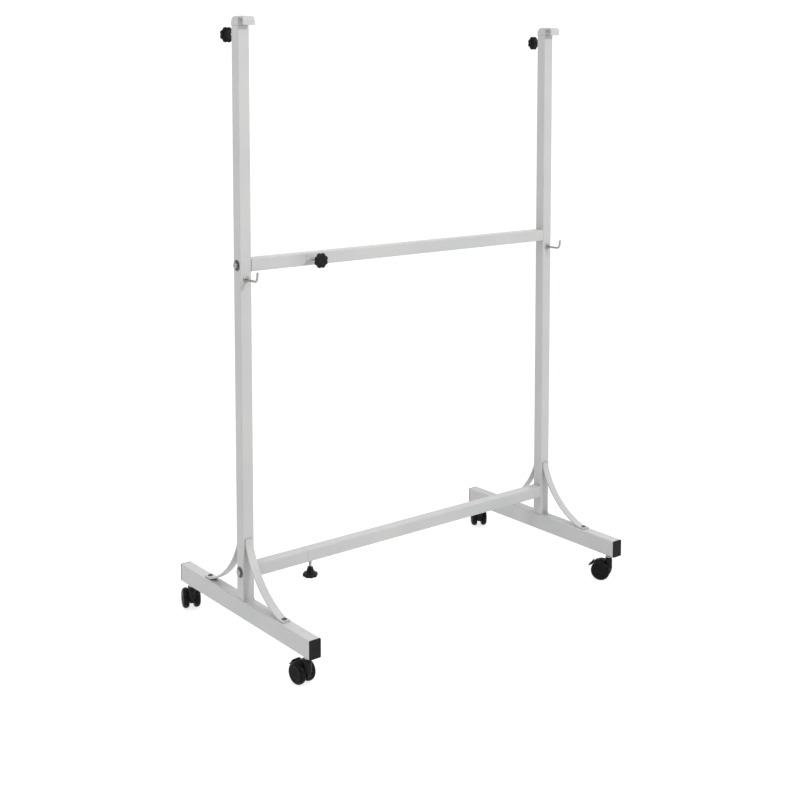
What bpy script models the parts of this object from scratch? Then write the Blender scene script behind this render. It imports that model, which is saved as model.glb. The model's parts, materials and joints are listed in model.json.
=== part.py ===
"""A mobile stand for a board or backdrop panel: two end frames on casters, joined by two telescopic rails.

Units are metres. X runs along the rails, -Y is the front, where the board hangs, and Z is up from the floor.
The left frame, at -X, is the fixed one: the right frame slides away from it to widen the stand.
Each function below places its piece from the floor point midway between the uprights. The whole is then
moved forward and to the left a little, because the trailing casters reach out behind and to the right.
"""

import bpy
import bmesh
from math import atan2, cos, pi, radians, sin
from mathutils import Matrix, Vector

# Driving dimensions
SPAN = 0.890            # between the centre lines of the two uprights
HEIGHT = 1.350          # floor to the top of the hook heads
TUBE = 0.0275           # outside of the uprights and rails
WALL = 0.0015
CORNER = 0.0025         # outside corner radius of every tube
SLIDE_GAP = 0.0004      # between a sliding tube and the tube around it
GAP = 0.0003            # between pieces that touch
FOOT_LENGTH = 0.528     # with its two end caps
FOOT_HEIGHT = 0.040
FOOT_BOTTOM = 0.064     # floor to the underside of a foot beam
UPPER_RAIL_Z = 0.829
LOWER_RAIL_Z = 0.165
RAIL_SEAM = 0.153       # from the left upright's centre line to the seam in each rail
WIDEN = 0.40            # how far the right frame slides out
RAISE = 0.36            # how far a top hook slides up
KNOB_DIAMETER = 0.034
WHEEL_RADIUS = 0.0235
STEM_INSET = 0.028      # caster stem to the end of the foot beam
FORWARD = 0.009         # from the middle of the whole to the uprights
LEFTWARD = 0.010

# Worked out from them
HALF_TUBE = TUBE / 2
BORE = TUBE - 2 * WALL
INNER = BORE - 2 * SLIDE_GAP
FOOT_TOP = FOOT_BOTTOM + FOOT_HEIGHT
LEFT = -SPAN / 2
RIGHT = SPAN / 2
STEM_Y = FOOT_LENGTH / 2 - STEM_INSET

# Top hooks
HEAD_HEIGHT = 0.019     # the head, and the lip that reaches down in front of the board
HEAD_REACH = 0.0225     # upright's front face to the front of the lip
PLATE = 0.004           # thickness of the head's top plate and lip
HEAD_BEND = 0.013       # radius of the head's rear upper corner
LIP_BEND = 0.009
HOOK_ENGAGED = 0.080    # inner tube left inside the upright at full height
UPRIGHT_TOP = HEIGHT - HEAD_HEIGHT - GAP
HOOK_KNOB_Z = 1.3135

# Rails
INNER_ENGAGED = 0.100   # inner tube left inside the right rail at full width
INNER_START = 0.020     # inner tube's end, from the left upright's face
KNOB_FROM_SEAM = 0.015
END_PLATE = 0.004
INNER_WALL = 0.0012

# Clamp knobs
KNOB_STANDOFF = {        # tube face to the middle of the knob's disc: each is screwed in to its own depth
    "left_hook_knob": 0.039,
    "right_hook_knob": 0.028,
    "upper_rail_knob": 0.035,
    "lower_rail_knob": 0.035,
}
STUD_RADIUS = 0.003
BOSS_RADIUS = 0.0052
BOSS_HEIGHT = 0.005
KNOB_LOBES = 8
DISC_THICKNESS = 0.009
DISC_CROWN = 0.0008     # how far the disc's outer face falls from its middle to its rim
RIM_BEVEL = 0.0020
LOBE_GROOVE = 0.0040    # radius of the grooves between the lobes
GROOVE_OUT = 0.0012     # groove's centre, outside the rim
HUB_BASE_RADIUS = 0.0105
HUB_TIP_RADIUS = 0.0055
HUB_HEIGHT = 0.014
KNOB_BORE = 0.014

# Bolts and wire hooks
BOLT_SHANK = 0.004
BOLT_FLANGE = 0.0115
BOLT_FLANGE_THICK = 0.002
BOLT_HEX = 0.0075
BOLT_HEX_HEIGHT = 0.0035
WIRE_RADIUS = 0.0024
WIRE_BELOW_RAIL = 0.030  # upper rail's centre line down to the wire hooks
WIRE_REACH = 0.043
WIRE_RISE = 0.021
WIRE_LEAN = 0.003
WIRE_BEND = 0.009
WIRE_PAST_NUT = 0.0015
COLLAR_FLANGE = 0.0075  # the collar that bears on the upright
COLLAR_FLANGE_THICK = 0.0022
COLLAR_NECK = 0.0045
COLLAR_HEIGHT = 0.007
NUT_RADIUS = 0.0065
NUT_HEIGHT = 0.005

# Braces
BRACE_WIDTH = 0.018
BRACE_THICK = 0.004
BRACE_RADIUS = 0.190
BRACE_TOP = 0.240       # floor to the brace's upper end
BRACE_UPPER_TAB = 0.012  # straight part on the upright
BRACE_LOWER_TAB = 0.018  # straight part on the foot beam, under the screw
BRACE_REACH = 0.160     # upright's centre line to the brace's lower end
BRACE_SCREW = 0.0055
BRACE_SCREW_HEIGHT = 0.0025

# Casters
CAP_HEAD = 0.003
CAP_PLUG = 0.014
CAP_WALL = 0.002
TRAIL = 0.018           # stem axis to wheel axle
WHEEL_WIDTH = 0.0146
CASTER_WIDTH = 0.041
WEB_WIDTH = CASTER_WIDTH - 2 * WHEEL_WIDTH - 0.0016
AXLE_RADIUS = 0.003
HOOD_RADIUS = WHEEL_RADIUS + 0.0004
BLOCK_RADIUS = WHEEL_RADIUS + 0.0030    # the hinge block on the hood's trailing shoulder
WHEEL_ROOM = WHEEL_RADIUS + 0.0013
SOCKET_RADIUS = 0.0085
SOCKET_TOP = 0.0550
SOCKET_BOTTOM = 0.0275
STEM_RADIUS = 0.0040
STEM_CHAMFER = 0.0010
STEM_IN_BEAM = 0.016
STEM_IN_SOCKET = 0.024
COLLAR_RADIUS = 0.0075
COLLAR_BOTTOM = SOCKET_TOP + 0.0012
BLOCK_FROM = radians(50)    # the hinge block's two ends, about the axle
BLOCK_TO = radians(66)
HUB_RADIUS = 0.011          # the hood's underside, below the axle
WEB_TRAILING = 0.0215       # the hood's edge under the lever
TREAD_CROWN = 0.0071        # from a wheel's inner face to where it's widest
INNER_FALL = 0.0035         # how far the tread falls from there to the inner face
WHEEL_FACE = 0.0155         # radius of the outer face, which the tread curves down to
WHEEL_DISH = 0.0012         # depth of the shallow dish in it
WHEEL_SKIN = 0.0035         # left between the axle's bore and the outer face
LEVER_WIDTH = 0.018
LEVER_HINGE = radians(46)   # the lever's hinge and the lower end of its curve, about the axle
LEVER_FOOT = radians(20)
LEVER_THICK = 0.0024
LEVER_TIP = 0.0305          # the tip, behind the axle and above it
LEVER_TIP_HEIGHT = 0.0075

# How each caster stands: the turn of its trailing side from straight back, anticlockwise from above
CASTER_TURN = {
    "front_left": radians(6),
    "rear_left": radians(-20),
    "front_right": radians(30),
    "rear_right": radians(-34),
}

WHITE = ("powder_coat_white", (0.80, 0.80, 0.79), 0.45, 0.0)
BLACK = ("black_plastic", (0.020, 0.020, 0.021), 0.55, 0.0)
TREAD = ("black_wheel_plastic", (0.014, 0.014, 0.015), 0.62, 0.0)
STEEL = ("zinc_plated_steel", (0.52, 0.52, 0.51), 0.38, 1.0)


def clear_scene():
    for obj in list(bpy.data.objects):
        bpy.data.objects.remove(obj)
    for collection in list(bpy.data.collections):
        bpy.data.collections.remove(collection)


def new_collection(name):
    collection = bpy.data.collections.new(name)
    bpy.context.scene.collection.children.link(collection)
    return collection


def new_empty(name, place, parent=None):
    """A point that other objects hang from."""
    empty = bpy.data.objects.new(name, None)
    empty.location = place
    empty.parent = parent
    STAND.objects.link(empty)
    return empty


clear_scene()
STAND = new_collection("mobile_board_stand")
CUTTERS = new_collection("cutters")
BETWEEN_UPRIGHTS = new_empty("between_uprights", (-LEFTWARD, -FORWARD, 0))


def material(look):
    name, colour, roughness, metallic = look
    found = bpy.data.materials.get(name)
    if found:
        return found
    made = bpy.data.materials.new(name)
    made.use_nodes = True
    shader = made.node_tree.nodes["Principled BSDF"]
    shader.inputs["Base Color"].default_value = (*colour, 1)
    shader.inputs["Roughness"].default_value = roughness
    shader.inputs["Metallic"].default_value = metallic
    return made


# ---- building blocks: each returns a mesh object in the cutters collection until it's placed ----


def helper(name, mesh):
    """A shape that isn't a node yet: a cutter, or a piece still being built."""
    obj = bpy.data.objects.new(name, mesh)
    obj.hide_render = True
    obj.display_type = "WIRE"
    CUTTERS.objects.link(obj)
    return obj


def to_mesh(obj, weld=True):
    """The evaluated object as a plain mesh. A curve's caps are welded to its sides."""
    bpy.context.view_layer.update()
    graph = bpy.context.evaluated_depsgraph_get()
    mesh = bpy.data.meshes.new_from_object(obj.evaluated_get(graph))
    mesh.transform(obj.matrix_world)
    name = obj.name
    bpy.data.objects.remove(obj)
    if weld:
        shape = bmesh.new()
        shape.from_mesh(mesh)
        bmesh.ops.remove_doubles(shape, verts=shape.verts, dist=1e-6)
        bmesh.ops.recalc_face_normals(shape, faces=shape.faces)
        shape.to_mesh(mesh)
        shape.free()
    return helper(name, mesh)


def arc(centre, radius, start, end, steps):
    """Points on an arc from start to end, in radians."""
    return [
        (centre[0] + radius * cos(start + (end - start) * i / steps),
         centre[1] + radius * sin(start + (end - start) * i / steps))
        for i in range(steps + 1)
    ]


def arc_through(start, end, radius):
    """The centre of an arc that sags below its chord, and the angles of its two ends."""
    chord = end - start
    height = (radius ** 2 - chord.length_squared / 4) ** 0.5
    centre = (start + end) / 2 + Vector((-chord.y, chord.x)).normalized() * height
    angles = [atan2(*reversed(point - centre)) % (2 * pi) for point in (start, end)]
    return centre, *angles


def rounded_rectangle(width, height, radius, steps=2):
    right, top = width / 2 - radius, height / 2 - radius
    points = []
    for quarter, (x, y) in enumerate(((right, top), (-right, top), (-right, -top), (right, -top))):
        points += arc((x, y), radius, quarter * pi / 2, (quarter + 1) * pi / 2, steps)
    return points


def extruded(name, outlines, thickness):
    """Flat outlines in XY, holes included, given this thickness about z = 0."""
    curve = bpy.data.curves.new(name, "CURVE")
    curve.dimensions = "2D"
    curve.fill_mode = "BOTH"
    curve.extrude = thickness / 2
    for outline in outlines:
        spline = curve.splines.new("POLY")
        spline.points.add(len(outline) - 1)
        for point, (x, y) in zip(spline.points, outline):
            point.co = (x, y, 0, 1)
        spline.use_cyclic_u = True
    obj = bpy.data.objects.new(name, curve)
    CUTTERS.objects.link(obj)
    return to_mesh(obj)


def wire(name, path, radius, sides=2):
    """A round wire along a path, with filled ends."""
    curve = bpy.data.curves.new(name, "CURVE")
    curve.dimensions = "3D"
    curve.bevel_depth = radius
    curve.bevel_resolution = sides
    curve.use_fill_caps = True
    spline = curve.splines.new("POLY")
    spline.points.add(len(path) - 1)
    for point, place in zip(spline.points, path):
        point.co = (*place, 1)
    obj = bpy.data.objects.new(name, curve)
    CUTTERS.objects.link(obj)
    return to_mesh(obj)


def turned(name, profile, steps=32):
    """A shape of revolution about Z from (radius, height) points, which run down its outer side."""
    mesh = bpy.data.meshes.new(name)
    mesh.from_pydata(
        [(radius, 0, height) for radius, height in profile],
        [(i, i + 1) for i in range(len(profile) - 1)],
        [],
    )
    obj = helper(name, mesh)
    screw = obj.modifiers.new("Screw", "SCREW")
    screw.steps = steps
    screw.render_steps = steps
    screw.use_merge_vertices = True
    screw.merge_threshold = 1e-5
    return to_mesh(obj)


def cylinder(name, radius, bottom, top, steps=16):
    return turned(name, [(0, top), (radius, top), (radius, bottom), (0, bottom)], steps)


def block(name, low, high):
    shape = bmesh.new()
    bmesh.ops.create_cube(shape, size=1)
    size = Vector(high) - Vector(low)
    middle = (Vector(high) + Vector(low)) / 2
    place = Matrix.Translation(middle) @ Matrix.Diagonal((*size, 1))
    bmesh.ops.transform(shape, matrix=place, verts=shape.verts)
    mesh = bpy.data.meshes.new(name)
    shape.to_mesh(mesh)
    shape.free()
    return helper(name, mesh)


def moved(obj, matrix):
    obj.data.transform(matrix)
    return obj


def shifted(obj, x=0.0, y=0.0, z=0.0):
    return moved(obj, Matrix.Translation((x, y, z)))


def facing(obj, direction):
    """Turns a shape built along +Z so that it points along this direction."""
    return moved(obj, Vector((0, 0, 1)).rotation_difference(Vector(direction)).to_matrix().to_4x4())


def boolean(target, other, operation):
    """Joins or cuts, and keeps the result as a plain mesh."""
    modifier = target.modifiers.new(operation.title(), "BOOLEAN")
    modifier.operation = operation
    modifier.solver = "EXACT"
    modifier.object = other
    made = to_mesh(target, weld=False)
    bpy.data.objects.remove(other)
    return made


def cut(target, *others):
    for other in others:
        target = boolean(target, other, "DIFFERENCE")
    return target


def joined(target, *others):
    for other in others:
        target = boolean(target, other, "UNION")
    return target


def placed(shape, name, look, origin=(0, 0, 0), parent=BETWEEN_UPRIGHTS, smooth=False):
    """Makes a finished shape a node of the stand, with its origin here, in the parent's frame."""
    shape.name = name
    shape.data.name = name
    shape.data.transform(Matrix.Translation(-Vector(origin)))
    shape.location = origin
    shape.parent = parent
    shape.hide_render = False
    shape.display_type = "TEXTURED"
    shape.data.materials.clear()
    shape.data.materials.append(material(look))
    if smooth:
        shape.data.shade_smooth()
        shape.data.set_sharp_from_angle(angle=radians(35))
    CUTTERS.objects.unlink(shape)
    STAND.objects.link(shape)
    return shape


# ---- tubes ----


def square_tube(name, width, height, wall, length):
    """An open rectangular tube along Z, centred on the origin."""
    outside = rounded_rectangle(width, height, CORNER)
    inside = rounded_rectangle(width - 2 * wall, height - 2 * wall, max(CORNER - wall, 0.0006))
    return extruded(name, [outside, inside], length)


def rail_tube(name, start, end, height, end_plate_at):
    """A rail tube along X. One end is closed by a plate with a hole for the upright's bolt."""
    tube = square_tube(name, TUBE, TUBE, WALL, end - start)
    tube = shifted(facing(tube, (1, 0, 0)), x=(start + end) / 2, z=height)
    inward = 1 if end_plate_at == start else -1
    low = min(end_plate_at, end_plate_at + inward * END_PLATE)
    half = BORE / 2 + WALL / 2
    plate = block("end_plate", (low, -half, height - half), (low + END_PLATE, half, height + half))
    tube = joined(tube, plate)
    hole = facing(cylinder("bolt_hole", BOLT_SHANK + GAP, -TUBE, TUBE), (1, 0, 0))
    return cut(tube, shifted(hole, x=end_plate_at, z=height))


def with_boss(tube, place, outward):
    """Adds a boss to a tube's face and bores it for a clamp stud."""
    boss = facing(cylinder("boss", BOSS_RADIUS, -WALL / 2, BOSS_HEIGHT), outward)
    hole = facing(cylinder("stud_hole", STUD_RADIUS + SLIDE_GAP, -2 * WALL, 2 * BOSS_HEIGHT), outward)
    return cut(joined(tube, shifted(boss, *place)), shifted(hole, *place))


def upright(side, x):
    """A square tube from the foot beam to the hook head, bored for two bolts, the wire hook and the clamp."""
    bottom = FOOT_TOP + GAP
    tube = square_tube("upright", TUBE, TUBE, WALL, UPRIGHT_TOP - bottom)
    tube = shifted(tube, x=x, z=(UPRIGHT_TOP + bottom) / 2)
    for height in (LOWER_RAIL_Z, UPPER_RAIL_Z):
        hole = facing(cylinder("bolt_hole", BOLT_SHANK + GAP, -TUBE, TUBE), (1, 0, 0))
        tube = cut(tube, shifted(hole, x=x, z=height))
    wire_hole = facing(cylinder("wire_hole", WIRE_RADIUS + GAP, -TUBE, TUBE), (0, 1, 0))
    tube = cut(tube, shifted(wire_hole, x=x, z=UPPER_RAIL_Z - WIRE_BELOW_RAIL))
    tube = with_boss(tube, (x, HALF_TUBE, HOOK_KNOB_Z), (0, 1, 0))
    return placed(tube, f"{side}_upright", WHITE)


def foot_beam(side, x):
    """A rectangular tube from front to back, bored underneath for the caster stems."""
    tube = square_tube("foot", TUBE, FOOT_HEIGHT, WALL, FOOT_LENGTH - 2 * (CAP_HEAD + GAP))
    tube = shifted(moved(tube, Matrix.Rotation(pi / 2, 4, "X")), x=x, z=FOOT_BOTTOM + FOOT_HEIGHT / 2)
    for y in (-STEM_Y, STEM_Y):
        hole = cylinder("stem_hole", STEM_RADIUS + GAP, FOOT_BOTTOM - WALL, FOOT_BOTTOM + 2 * WALL)
        tube = cut(tube, shifted(hole, x=x, y=y))
    return placed(tube, f"{side}_foot_beam", WHITE)


def end_cap(side, end, x, outward):
    """A plastic plug: a head flush with the beam, and a hollow skirt pushed into it."""
    head = extruded("cap", [rounded_rectangle(TUBE, FOOT_HEIGHT, CORNER)], CAP_HEAD)
    head = shifted(head, z=-CAP_HEAD / 2)
    width = TUBE - 2 * WALL - 2 * GAP
    height = FOOT_HEIGHT - 2 * WALL - 2 * GAP
    outside = rounded_rectangle(width, height, CORNER - WALL)
    inside = rounded_rectangle(width - 2 * CAP_WALL, height - 2 * CAP_WALL, CORNER - WALL)
    skirt = shifted(extruded("skirt", [outside, inside], CAP_PLUG), z=-CAP_HEAD / 2 - CAP_PLUG / 2)
    cap = joined(head, skirt)
    turn = Matrix.Rotation(-outward * pi / 2, 4, "X")
    place = Matrix.Translation((x, outward * FOOT_LENGTH / 2, FOOT_BOTTOM + FOOT_HEIGHT / 2))
    return placed(moved(cap, place @ turn), f"{side}_{end}_end_cap", BLACK)


def brace(side, end, x, outward):
    """A flat bar that curves a quarter turn from the upright down to the foot beam, with its fixing screw."""
    face = HALF_TUBE + GAP
    level = FOOT_TOP + GAP
    half = BRACE_THICK / 2
    upper = Vector((face + half, BRACE_TOP - BRACE_UPPER_TAB))
    lower = Vector((BRACE_REACH - BRACE_LOWER_TAB, level + half))
    centre, first, last = arc_through(upper, lower, BRACE_RADIUS)
    outline = [(face + BRACE_THICK, BRACE_TOP)]
    outline += arc(centre, BRACE_RADIUS - half, first, last, 12)
    outline += [(BRACE_REACH, level + BRACE_THICK), (BRACE_REACH, level)]
    outline += arc(centre, BRACE_RADIUS + half, last, first, 12)
    outline += [(face, BRACE_TOP)]
    bar = extruded("bar", [outline], BRACE_WIDTH)
    # The outline's x runs outward along Y, and its y runs up.
    stand_up = Matrix(((0, 0, 1, x), (outward, 0, 0, 0), (0, 1, 0, 0), (0, 0, 0, 1)))
    bar = moved(bar, stand_up)
    if outward > 0:
        bar.data.flip_normals()
    screw = cylinder("screw", BRACE_SCREW, level + half, level + BRACE_THICK + BRACE_SCREW_HEIGHT, 16)
    screw = shifted(screw, x=x, y=outward * (BRACE_REACH - BRACE_LOWER_TAB / 2))
    return placed(joined(bar, screw), f"{side}_{end}_brace", WHITE)


# ---- fasteners and hooks ----


def rail_bolt(name, x, height, outward):
    """A flanged hex bolt through the upright into the end plate of a rail."""
    length = TUBE + END_PLATE + 2 * GAP
    shank = cylinder("shank", BOLT_SHANK, -length, BOLT_FLANGE_THICK / 2, 16)
    flange = cylinder("flange", BOLT_FLANGE, GAP, BOLT_FLANGE_THICK, 24)
    head = cylinder("head", BOLT_HEX, BOLT_FLANGE_THICK / 2, BOLT_FLANGE_THICK + BOLT_HEX_HEIGHT, 6)
    bolt = facing(joined(flange, shank, head), (outward, 0, 0))
    return placed(shifted(bolt, x=x + outward * HALF_TUBE, z=height), name, STEEL)


def wire_hook(side, x):
    """A steel wire through the upright, out to the front, then bent up to hold the board's lower edge."""
    height = UPPER_RAIL_Z - WIRE_BELOW_RAIL
    rear = Vector((x, HALF_TUBE + NUT_HEIGHT + WIRE_PAST_NUT, height))
    corner = Vector((x, -HALF_TUBE - WIRE_REACH, height))
    tip = corner + Vector((0, -WIRE_LEAN, WIRE_RISE))
    # The bend starts this far from the corner on each leg, and is rounded in four steps.
    before = corner + (rear - corner).normalized() * WIRE_BEND
    after = corner + (tip - corner).normalized() * WIRE_BEND
    path = [rear, before]
    for t in (0.25, 0.5, 0.75, 1.0):
        path.append(before * (1 - t) ** 2 + corner * 2 * t * (1 - t) + after * t ** 2)
    path.append(tip)
    collar = turned("collar", [
        (0, COLLAR_HEIGHT),
        (COLLAR_NECK, COLLAR_HEIGHT),
        (COLLAR_NECK, COLLAR_FLANGE_THICK),
        (COLLAR_FLANGE, COLLAR_FLANGE_THICK),
        (COLLAR_FLANGE, GAP),
        (0, GAP),
    ], 24)
    collar = shifted(facing(collar, (0, -1, 0)), x=x, y=-HALF_TUBE, z=height)
    hook = joined(wire("wire", path, WIRE_RADIUS), collar)
    return placed(hook, f"{side}_wire_hook", STEEL, smooth=True)


def wire_hook_nut(side, x):
    height = UPPER_RAIL_Z - WIRE_BELOW_RAIL
    nut = cylinder("nut", NUT_RADIUS, GAP, NUT_HEIGHT, 6)
    nut = cut(nut, cylinder("bore", WIRE_RADIUS + GAP, -NUT_HEIGHT, 2 * NUT_HEIGHT, 16))
    return placed(shifted(facing(nut, (0, 1, 0)), x=x, y=HALF_TUBE, z=height), f"{side}_wire_hook_nut", STEEL)


def top_hook(side, x):
    """The board's upper hook: a head that reaches over the board, on a tube that slides in the upright."""
    back, front = HALF_TUBE, -HALF_TUBE
    lip = front - HEAD_REACH
    bottom = HEIGHT - HEAD_HEIGHT
    outline = [(back, bottom)]
    outline += arc((back - HEAD_BEND, HEIGHT - HEAD_BEND), HEAD_BEND, 0, pi / 2, 6)
    lip_centre = (lip + LIP_BEND, HEIGHT - LIP_BEND)
    outline += arc(lip_centre, LIP_BEND, pi / 2, pi, 5)
    outline += [(lip, bottom), (lip + PLATE, bottom)]
    outline += arc(lip_centre, LIP_BEND - PLATE, pi, pi / 2, 4)
    outline += [(front, HEIGHT - PLATE), (front, bottom)]
    head = extruded("head", [outline], TUBE)
    # The outline's x is world Y and its y is world Z.
    head = moved(head, Matrix(((0, 0, 1, x), (1, 0, 0, 0), (0, 1, 0, 0), (0, 0, 0, 1))))
    top = bottom + PLATE
    length = RAISE + HOOK_ENGAGED + PLATE
    slider = square_tube("slider", INNER, INNER, INNER_WALL, length)
    slider = shifted(slider, x=x, z=top - length / 2)
    hook = joined(head, slider)
    return placed(hook, f"{side}_top_hook", WHITE, origin=(x, 0, bottom))


def knob_head(name, place, outward):
    """A lobed disc with a tapering hub, bored for its stud. Its axis is the stud's."""
    radius = KNOB_DIAMETER / 2
    half = DISC_THICKNESS / 2
    hub_tip = -half - HUB_HEIGHT
    body = turned("disc", [
        (0, half + DISC_CROWN),
        (radius * 0.6, half),
        (radius - RIM_BEVEL / 2, half - DISC_CROWN),
        (radius, half - DISC_CROWN - RIM_BEVEL),
        (radius, RIM_BEVEL - half),
        (radius - RIM_BEVEL, -half),
        (HUB_BASE_RADIUS, -half),
        (HUB_TIP_RADIUS, hub_tip),
        (0, hub_tip),
    ], 32)
    for lobe in range(KNOB_LOBES):
        turn = 2 * pi * (lobe + 0.5) / KNOB_LOBES
        out = radius + GROOVE_OUT
        groove = cylinder("groove", LOBE_GROOVE, -DISC_THICKNESS, DISC_THICKNESS, 12)
        body = cut(body, shifted(groove, x=out * cos(turn), y=out * sin(turn)))
    bore = cylinder("bore", STUD_RADIUS + GAP, hub_tip - WALL, hub_tip + KNOB_BORE, 16)
    body = facing(cut(body, bore), outward)
    middle = Vector(place) + Vector(outward) * KNOB_STANDOFF[name]
    return placed(shifted(body, *middle), name, BLACK, origin=tuple(middle), smooth=True)


def knob_stud(name, place, outward, standoff):
    """The threaded stud, from the sliding tube's face into the knob."""
    tip = -WALL
    end = standoff - DISC_THICKNESS / 2 - HUB_HEIGHT + KNOB_BORE - GAP
    stud = facing(cylinder("stud", STUD_RADIUS, tip, end, 16), outward)
    return placed(shifted(stud, *place), name, STEEL, origin=tuple(place), smooth=True)


def clamp_knob(name, place, outward):
    knob_head(name, place, outward)
    knob_stud(f"{name}_stud", place, outward, KNOB_STANDOFF[name])


# ---- casters: built about the stem, with the trailing side at +Y, then turned ----


def caster_stem(name, parent):
    """The fixed steel pin: a collar under the beam, a shank into the hood, and a head inside the beam."""
    pin = turned("pin", [
        (0, FOOT_BOTTOM + STEM_IN_BEAM),
        (STEM_RADIUS - STEM_CHAMFER, FOOT_BOTTOM + STEM_IN_BEAM),
        (STEM_RADIUS, FOOT_BOTTOM + STEM_IN_BEAM - STEM_CHAMFER),
        (STEM_RADIUS, FOOT_BOTTOM - GAP),
        (COLLAR_RADIUS, FOOT_BOTTOM - GAP),
        (COLLAR_RADIUS, COLLAR_BOTTOM),
        (STEM_RADIUS, COLLAR_BOTTOM),
        (STEM_RADIUS, SOCKET_TOP - STEM_IN_SOCKET),
        (0, SOCKET_TOP - STEM_IN_SOCKET),
    ], 16)
    return placed(pin, f"{name}_caster_stem", STEEL, parent=parent, smooth=True)


def caster_hood(name, parent):
    """The moulded body: a web between the wheels, with a hinge block on it and a socket for the stem."""
    axle = (TRAIL, WHEEL_RADIUS)
    step = radians(2)
    outline = arc(axle, WEB_TRAILING, radians(-15), BLOCK_FROM, 6)
    outline += arc(axle, BLOCK_RADIUS, BLOCK_FROM + step, BLOCK_TO, 3)
    outline += arc(axle, HOOD_RADIUS, BLOCK_TO + step, radians(195), 12)
    outline += arc(axle, HUB_RADIUS, radians(225), radians(315), 4)
    across = Matrix(((0, 0, 1, 0), (1, 0, 0, 0), (0, 1, 0, 0), (0, 0, 0, 1)))
    web = moved(extruded("web", [outline], WEB_WIDTH), across)
    socket = cylinder("socket", SOCKET_RADIUS, SOCKET_BOTTOM, SOCKET_TOP, 20)
    hood = joined(web, socket)
    # The socket is cut back where the wheels run past it, on both sides of the web.
    for side in (-1, 1):
        near = side * (WEB_WIDTH / 2 + GAP)
        far = side * CASTER_WIDTH
        swept = cylinder("swept", WHEEL_ROOM, min(near, far), max(near, far), 32)
        hood = cut(hood, shifted(facing(swept, (1, 0, 0)), y=TRAIL, z=WHEEL_RADIUS))
    bore_bottom = SOCKET_TOP - STEM_IN_SOCKET - SLIDE_GAP
    stem_bore = cylinder("stem_bore", STEM_RADIUS + SLIDE_GAP, bore_bottom, SOCKET_TOP + WALL, 16)
    axle_bore = facing(cylinder("axle_bore", AXLE_RADIUS + GAP, -CASTER_WIDTH, CASTER_WIDTH, 16), (1, 0, 0))
    hood = cut(hood, stem_bore, shifted(axle_bore, y=TRAIL, z=WHEEL_RADIUS))
    return placed(hood, f"{name}_caster_hood", BLACK, parent=parent, smooth=True)


def caster_axle(name, parent):
    half = CASTER_WIDTH / 2 - WHEEL_SKIN - GAP
    pin = facing(cylinder("axle", AXLE_RADIUS, -half, half, 16), (1, 0, 0))
    middle = (0, TRAIL, WHEEL_RADIUS)
    return placed(shifted(pin, *middle), f"{name}_caster_axle", STEEL, middle, parent, smooth=True)


def caster_wheel(name, which, parent, side):
    """One of the twin wheels: a round-shouldered tread, a dished outer face and a blind bore from inside."""
    dish = WHEEL_WIDTH - WHEEL_DISH
    profile = [(0, dish), (WHEEL_FACE - 2 * WHEEL_DISH, dish)]
    for step in range(6):
        turn = pi / 2 * step / 5
        profile.append((WHEEL_FACE + (WHEEL_RADIUS - WHEEL_FACE) * sin(turn),
                        TREAD_CROWN + (WHEEL_WIDTH - TREAD_CROWN) * cos(turn)))
    for step in range(1, 4):
        turn = pi / 2 * step / 3
        profile.append((WHEEL_RADIUS - INNER_FALL * (1 - cos(turn)), TREAD_CROWN * (1 - sin(turn))))
    profile.append((0, 0))
    wheel = turned("wheel", profile, 32)
    bore = cylinder("bore", AXLE_RADIUS + GAP, -WALL, WHEEL_WIDTH - WHEEL_SKIN, 16)
    wheel = facing(cut(wheel, bore), (side, 0, 0))
    start = side * (CASTER_WIDTH / 2 - WHEEL_WIDTH)
    origin = (0, TRAIL, WHEEL_RADIUS)
    wheel = shifted(wheel, x=start, y=TRAIL, z=WHEEL_RADIUS)
    return placed(wheel, f"{name}_caster_{which}_wheel", TREAD, origin=origin, parent=parent, smooth=True)


def brake_lever(name, parent):
    """A curved pedal on the hood's hinge block, which follows the wheels down to a lifted tip."""
    axle = (TRAIL, WHEEL_RADIUS)
    reach = BLOCK_RADIUS + 2 * GAP
    origin = (0, TRAIL + reach * cos(LEVER_HINGE), WHEEL_RADIUS + reach * sin(LEVER_HINGE))
    inside = BLOCK_RADIUS + GAP / 2
    outline = arc(axle, inside, LEVER_HINGE, LEVER_FOOT, 6)
    tip = Vector((TRAIL + LEVER_TIP, WHEEL_RADIUS + LEVER_TIP_HEIGHT))
    outline += [tuple(tip), tuple(tip + Vector((LEVER_THICK / 4, LEVER_THICK)))]
    outline += arc(axle, inside + LEVER_THICK, LEVER_FOOT + radians(4), LEVER_HINGE, 6)
    across = Matrix(((0, 0, 1, 0), (1, 0, 0, 0), (0, 1, 0, 0), (0, 0, 0, 1)))
    lever = moved(extruded("lever", [outline], LEVER_WIDTH), across)
    return placed(lever, f"{name}_brake_lever", BLACK, origin=origin, parent=parent)


def caster(name, x, y, braked):
    swivel = new_empty(f"{name}_swivel_axis", (x, y, 0), BETWEEN_UPRIGHTS)
    swivel.rotation_euler.z = CASTER_TURN[name]
    caster_stem(name, swivel)
    caster_hood(name, swivel)
    caster_axle(name, swivel)
    caster_wheel(name, "left", swivel, -1)
    caster_wheel(name, "right", swivel, 1)
    if braked:
        brake_lever(name, swivel)


# ---- the stand ----


def end_frame(side, x):
    foot_beam(side, x)
    upright(side, x)
    for end, outward in (("front", -1), ("rear", 1)):
        end_cap(side, end, x, outward)
        brace(side, end, x, outward)
        caster(f"{end}_{side}", x, outward * STEM_Y, braked=end == "front")
    wire_hook(side, x)
    wire_hook_nut(side, x)
    top_hook(side, x)
    clamp_knob(f"{side}_hook_knob", (x, HALF_TUBE, HOOK_KNOB_Z), (0, 1, 0))


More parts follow.
